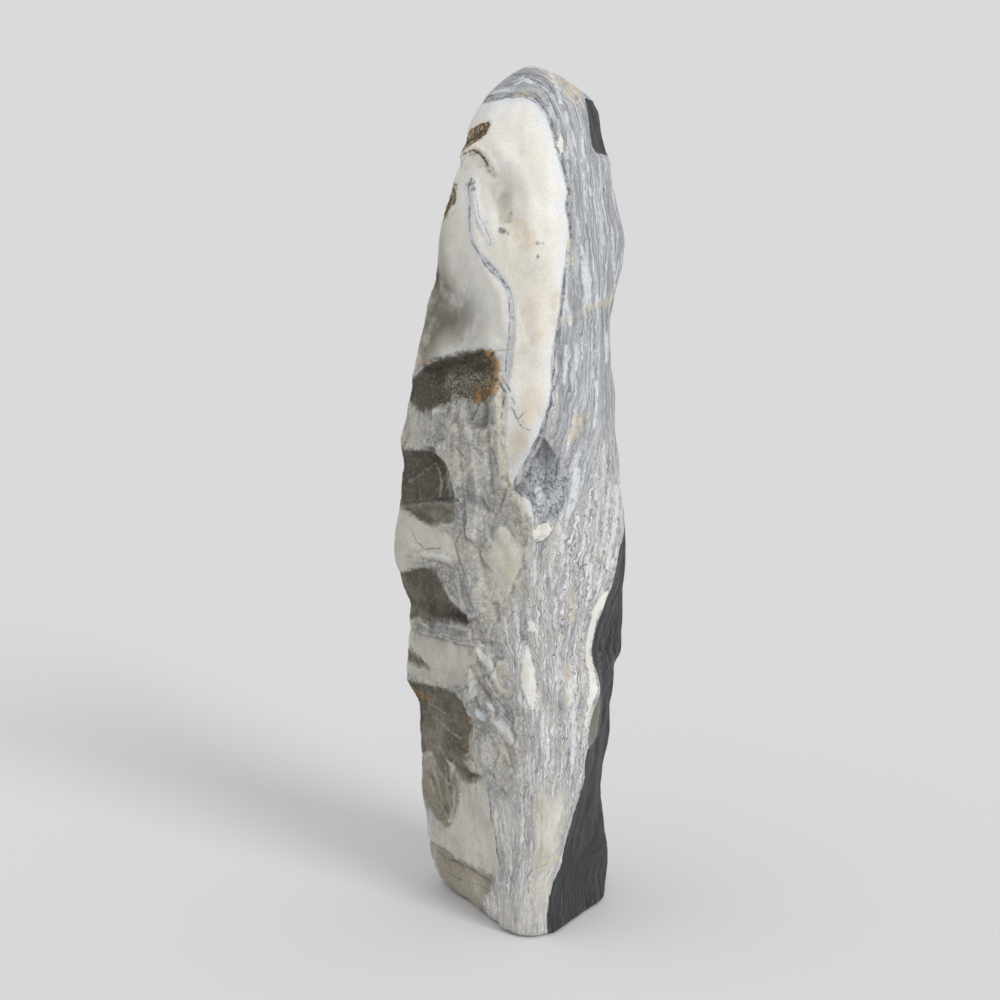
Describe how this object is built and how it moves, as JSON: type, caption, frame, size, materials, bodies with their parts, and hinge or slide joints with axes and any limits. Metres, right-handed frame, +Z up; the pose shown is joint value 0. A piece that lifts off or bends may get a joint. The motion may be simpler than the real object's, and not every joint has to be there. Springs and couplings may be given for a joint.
{
  "type": "marble block",
  "caption": "Upright rough block of banded grey and white marble, with a rounded top, broken pockets down one flank, a dark flank opposite and a flat foot.",
  "frame": {"origin": "under the middle of the stone's bounding box, on the surface that it stands on", "axes": "+Z up the stone, -Y out of the front that shows the banding, +X to the right as the front is looked at"},
  "size_m": [0.4452, 0.3868, 1.6],
  "materials": {
    "banded_marble": "weathered, matt, grey and cream white foliated marble"
  },
  "bodies": {
    "root": {"marble_block": "banded_marble"}
  },
  "joints": []
}
